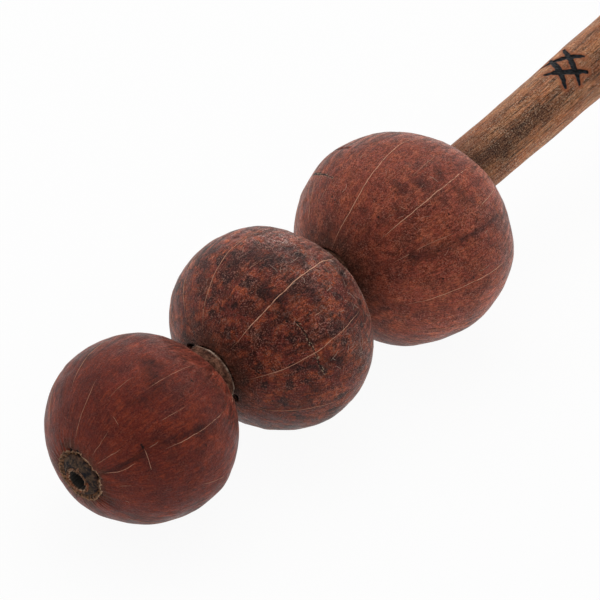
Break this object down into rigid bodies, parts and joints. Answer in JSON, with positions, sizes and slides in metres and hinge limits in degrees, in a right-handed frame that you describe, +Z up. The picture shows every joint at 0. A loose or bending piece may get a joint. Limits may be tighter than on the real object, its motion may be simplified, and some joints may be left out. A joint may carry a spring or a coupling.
{
  "type": "seed rattle",
  "caption": "Hand rattle (hosho): round hollow fruit shells skewered in a row on a tapered wooden stick that is also the handle, sealed with dark filler, with loose seeds inside each shell.",
  "frame": {"origin": "on the floor under the middle of the whole rattle as it lies on its shells", "axes": "+X along the stick from its tip to the handle's butt as seen from above, +Z up from the floor"},
  "size_m": [0.3664, 0.083, 0.0763],
  "materials": {
    "shell_brown": "satin",
    "shell_mottled": "satin",
    "shell_russet": "satin",
    "stick_wood": "satin",
    "filler": "satin",
    "seed_black": "satin"
  },
  "bodies": {
    "rattle": {"handle_stick": "stick_wood", "shell_front": "shell_brown", "shell_middle": "shell_mottled", "shell_rear": "shell_russet", "seal_tip": "filler", "seal_neck_front": "filler", "seal_neck_rear": "filler", "seal_handle": "filler"},
    "seed_front_1": {"seed_front_1": "seed_black"},
    "seed_front_2": {"seed_front_2": "seed_black"},
    "seed_front_3": {"seed_front_3": "seed_black"},
    "seed_front_4": {"seed_front_4": "seed_black"},
    "seed_front_5": {"seed_front_5": "seed_black"},
    "seed_front_6": {"seed_front_6": "seed_black"},
    "seed_front_7": {"seed_front_7": "seed_black"},
    "seed_front_8": {"seed_front_8": "seed_black"},
    "seed_front_9": {"seed_front_9": "seed_black"},
    "seed_middle_1": {"seed_middle_1": "seed_black"},
    "seed_middle_2": {"seed_middle_2": "seed_black"},
    "seed_middle_3": {"seed_middle_3": "seed_black"},
    "seed_middle_4": {"seed_middle_4": "seed_black"},
    "seed_middle_5": {"seed_middle_5": "seed_black"},
    "seed_middle_6": {"seed_middle_6": "seed_black"},
    "seed_middle_7": {"seed_middle_7": "seed_black"},
    "seed_middle_8": {"seed_middle_8": "seed_black"},
    "seed_middle_9": {"seed_middle_9": "seed_black"},
    "seed_rear_1": {"seed_rear_1": "seed_black"},
    "seed_rear_2": {"seed_rear_2": "seed_black"},
    "seed_rear_3": {"seed_rear_3": "seed_black"},
    "seed_rear_4": {"seed_rear_4": "seed_black"},
    "seed_rear_5": {"seed_rear_5": "seed_black"},
    "seed_rear_6": {"seed_rear_6": "seed_black"},
    "seed_rear_7": {"seed_rear_7": "seed_black"},
    "seed_rear_8": {"seed_rear_8": "seed_black"},
    "seed_rear_9": {"seed_rear_9": "seed_black"},
    "seed_rear_10": {"seed_rear_10": "seed_black"}
  },
  "joints": [
    {"name": "seed_front_1_swirl", "type": "hinge", "parent": "rattle", "child": "seed_front_1", "pos_m": [-0.15057, 0.00414, 0.0318], "axis": [0.9983, 0, 0.0576], "continuous": true},
    {"name": "seed_front_2_swirl", "type": "hinge", "parent": "rattle", "child": "seed_front_2", "pos_m": [-0.15057, 0.00414, 0.0318], "axis": [0.9983, 0, 0.0576], "continuous": true},
    {"name": "seed_front_3_swirl", "type": "hinge", "parent": "rattle", "child": "seed_front_3", "pos_m": [-0.15057, 0.00414, 0.0318], "axis": [0.9983, 0, 0.0576], "continuous": true},
    {"name": "seed_front_4_swirl", "type": "hinge", "parent": "rattle", "child": "seed_front_4", "pos_m": [-0.15057, 0.00414, 0.0318], "axis": [0.9983, 0, 0.0576], "continuous": true},
    {"name": "seed_front_5_swirl", "type": "hinge", "parent": "rattle", "child": "seed_front_5", "pos_m": [-0.15057, 0.00414, 0.0318], "axis": [0.9983, 0, 0.0576], "continuous": true},
    {"name": "seed_front_6_swirl", "type": "hinge", "parent": "rattle", "child": "seed_front_6", "pos_m": [-0.15057, 0.00414, 0.0318], "axis": [0.9983, 0, 0.0576], "continuous": true},
    {"name": "seed_front_7_swirl", "type": "hinge", "parent": "rattle", "child": "seed_front_7", "pos_m": [-0.15057, 0.00414, 0.0318], "axis": [0.9983, 0, 0.0576], "continuous": true},
    {"name": "seed_front_8_swirl", "type": "hinge", "parent": "rattle", "child": "seed_front_8", "pos_m": [-0.15057, 0.00414, 0.0318], "axis": [0.9983, 0, 0.0576], "continuous": true},
    {"name": "seed_front_9_swirl", "type": "hinge", "parent": "rattle", "child": "seed_front_9", "pos_m": [-0.15057, 0.00414, 0.0318], "axis": [0.9983, 0, 0.0576], "continuous": true},
    {"name": "seed_middle_1_swirl", "type": "hinge", "parent": "rattle", "child": "seed_middle_1", "pos_m": [-0.08387, 0.00314, 0.03549], "axis": [0.9983, 0, 0.0576], "continuous": true},
    {"name": "seed_middle_2_swirl", "type": "hinge", "parent": "rattle", "child": "seed_middle_2", "pos_m": [-0.08387, 0.00314, 0.03549], "axis": [0.9983, 0, 0.0576], "continuous": true},
    {"name": "seed_middle_3_swirl", "type": "hinge", "parent": "rattle", "child": "seed_middle_3", "pos_m": [-0.08387, 0.00314, 0.03549], "axis": [0.9983, 0, 0.0576], "continuous": true},
    {"name": "seed_middle_4_swirl", "type": "hinge", "parent": "rattle", "child": "seed_middle_4", "pos_m": [-0.08387, 0.00314, 0.03549], "axis": [0.9983, 0, 0.0576], "continuous": true},
    {"name": "seed_middle_5_swirl", "type": "hinge", "parent": "rattle", "child": "seed_middle_5", "pos_m": [-0.08387, 0.00314, 0.03549], "axis": [0.9983, 0, 0.0576], "continuous": true},
    {"name": "seed_middle_6_swirl", "type": "hinge", "parent": "rattle", "child": "seed_middle_6", "pos_m": [-0.08387, 0.00314, 0.03549], "axis": [0.9983, 0, 0.0576], "continuous": true},
    {"name": "seed_middle_7_swirl", "type": "hinge", "parent": "rattle", "child": "seed_middle_7", "pos_m": [-0.08387, 0.00314, 0.03549], "axis": [0.9983, 0, 0.0576], "continuous": true},
    {"name": "seed_middle_8_swirl", "type": "hinge", "parent": "rattle", "child": "seed_middle_8", "pos_m": [-0.08387, 0.00314, 0.03549], "axis": [0.9983, 0, 0.0576], "continuous": true},
    {"name": "seed_middle_9_swirl", "type": "hinge", "parent": "rattle", "child": "seed_middle_9", "pos_m": [-0.08387, 0.00314, 0.03549], "axis": [0.9983, 0, 0.0576], "continuous": true},
    {"name": "seed_rear_1_swirl", "type": "hinge", "parent": "rattle", "child": "seed_rear_1", "pos_m": [-0.0143, -0.00036, 0.038], "axis": [0.9983, 0, 0.0576], "continuous": true},
    {"name": "seed_rear_2_swirl", "type": "hinge", "parent": "rattle", "child": "seed_rear_2", "pos_m": [-0.0143, -0.00036, 0.038], "axis": [0.9983, 0, 0.0576], "continuous": true},
    {"name": "seed_rear_3_swirl", "type": "hinge", "parent": "rattle", "child": "seed_rear_3", "pos_m": [-0.0143, -0.00036, 0.038], "axis": [0.9983, 0, 0.0576], "continuous": true},
    {"name": "seed_rear_4_swirl", "type": "hinge", "parent": "rattle", "child": "seed_rear_4", "pos_m": [-0.0143, -0.00036, 0.038], "axis": [0.9983, 0, 0.0576], "continuous": true},
    {"name": "seed_rear_5_swirl", "type": "hinge", "parent": "rattle", "child": "seed_rear_5", "pos_m": [-0.0143, -0.00036, 0.038], "axis": [0.9983, 0, 0.0576], "continuous": true},
    {"name": "seed_rear_6_swirl", "type": "hinge", "parent": "rattle", "child": "seed_rear_6", "pos_m": [-0.0143, -0.00036, 0.038], "axis": [0.9983, 0, 0.0576], "continuous": true},
    {"name": "seed_rear_7_swirl", "type": "hinge", "parent": "rattle", "child": "seed_rear_7", "pos_m": [-0.0143, -0.00036, 0.038], "axis": [0.9983, 0, 0.0576], "continuous": true},
    {"name": "seed_rear_8_swirl", "type": "hinge", "parent": "rattle", "child": "seed_rear_8", "pos_m": [-0.0143, -0.00036, 0.038], "axis": [0.9983, 0, 0.0576], "continuous": true},
    {"name": "seed_rear_9_swirl", "type": "hinge", "parent": "rattle", "child": "seed_rear_9", "pos_m": [-0.0143, -0.00036, 0.038], "axis": [0.9983, 0, 0.0576], "continuous": true},
    {"name": "seed_rear_10_swirl", "type": "hinge", "parent": "rattle", "child": "seed_rear_10", "pos_m": [-0.0143, -0.00036, 0.038], "axis": [0.9983, 0, 0.0576], "continuous": true}
  ]
}
